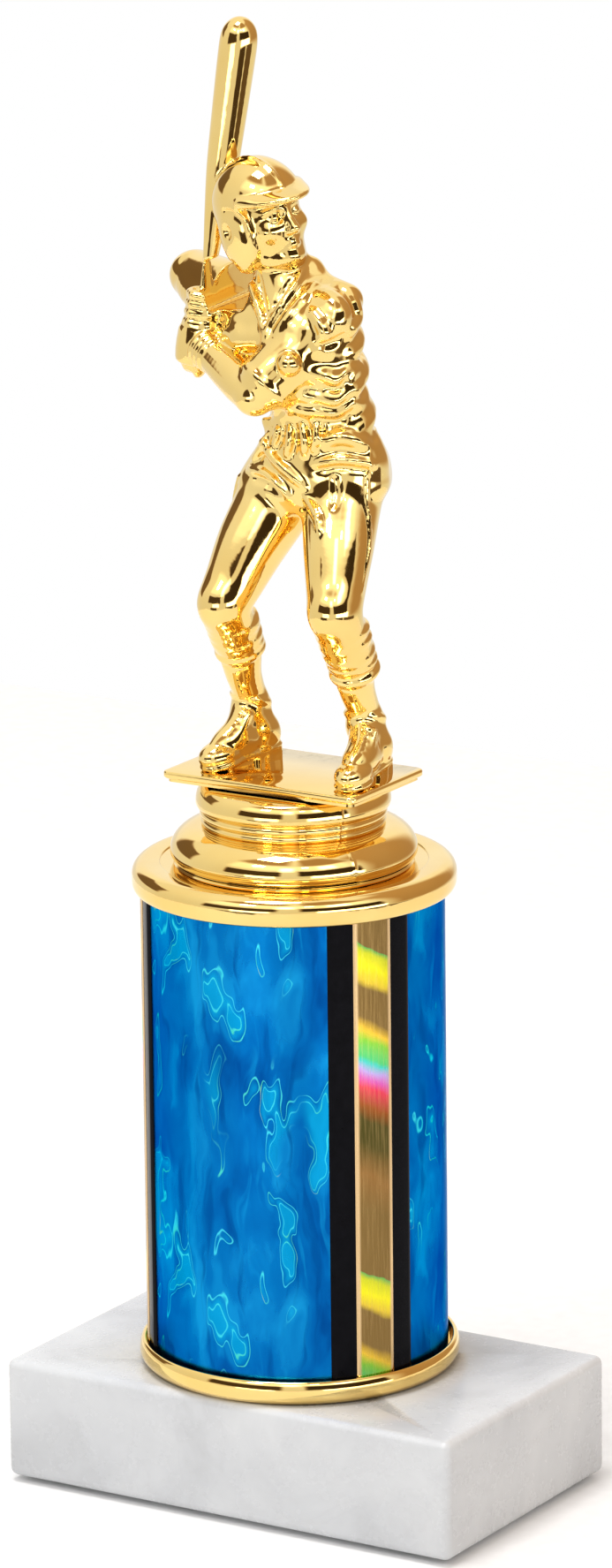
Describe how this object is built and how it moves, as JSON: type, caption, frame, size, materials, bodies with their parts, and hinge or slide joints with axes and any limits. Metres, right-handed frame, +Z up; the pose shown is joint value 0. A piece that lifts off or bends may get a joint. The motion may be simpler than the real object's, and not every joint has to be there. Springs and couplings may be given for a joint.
{
  "type": "column trophy",
  "caption": "Baseball trophy with a gold-plated batting figure screwed to a turned riser on a film-wrapped round column and a marble slab base.",
  "frame": {"origin": "on the floor, under the middle of the marble base, at the underside of the felt pads", "axes": "+Z up; X runs along the long side of the base; -Y is the front, the side the figure's chest faces; the batter's bat is towards -X"},
  "size_m": [0.088, 0.055, 0.2523],
  "materials": {
    "marble": "polished white marble with faint grey clouds and soft rounded edges",
    "felt": "die-cut green felt",
    "zinc_steel": "zinc-plated steel hardware",
    "brass": "turned brass",
    "gold_plating": "moulded plastic with a bright vacuum-plated gold mirror finish",
    "white_plastic": "extruded white plastic",
    "blue_film": "glossy blue holographic film with cloudy streaks and bright loops",
    "black_gloss": "glossy black tape",
    "prism_foil": "gold prism foil with rainbow patches"
  },
  "bodies": {
    "stand": {"marble_base": "marble", "felt_pad_1": "felt", "felt_pad_2": "felt", "felt_pad_3": "felt", "felt_pad_4": "felt", "threaded_rod": "zinc_steel", "base_washer": "zinc_steel", "base_lock_washer": "zinc_steel", "base_nut": "zinc_steel", "lid_washer": "zinc_steel", "lid_nut": "zinc_steel", "column_cup": "gold_plating", "column_tube": "white_plastic", "column_film": "blue_film", "column_lid": "gold_plating", "black_strip_1": "black_gloss", "black_strip_2": "black_gloss", "black_strip_3": "black_gloss", "prism_band_1": "prism_foil", "prism_band_2": "prism_foil", "prism_band_3": "prism_foil", "riser": "gold_plating"},
    "figure": {"batting_figure": "gold_plating", "figure_insert": "brass"}
  },
  "joints": [
    {"name": "figure_turn", "type": "hinge", "parent": "stand", "child": "figure", "pos_m": [-0.001, 0, 0.124], "axis": [0, 0, 1], "continuous": true}
  ]
}
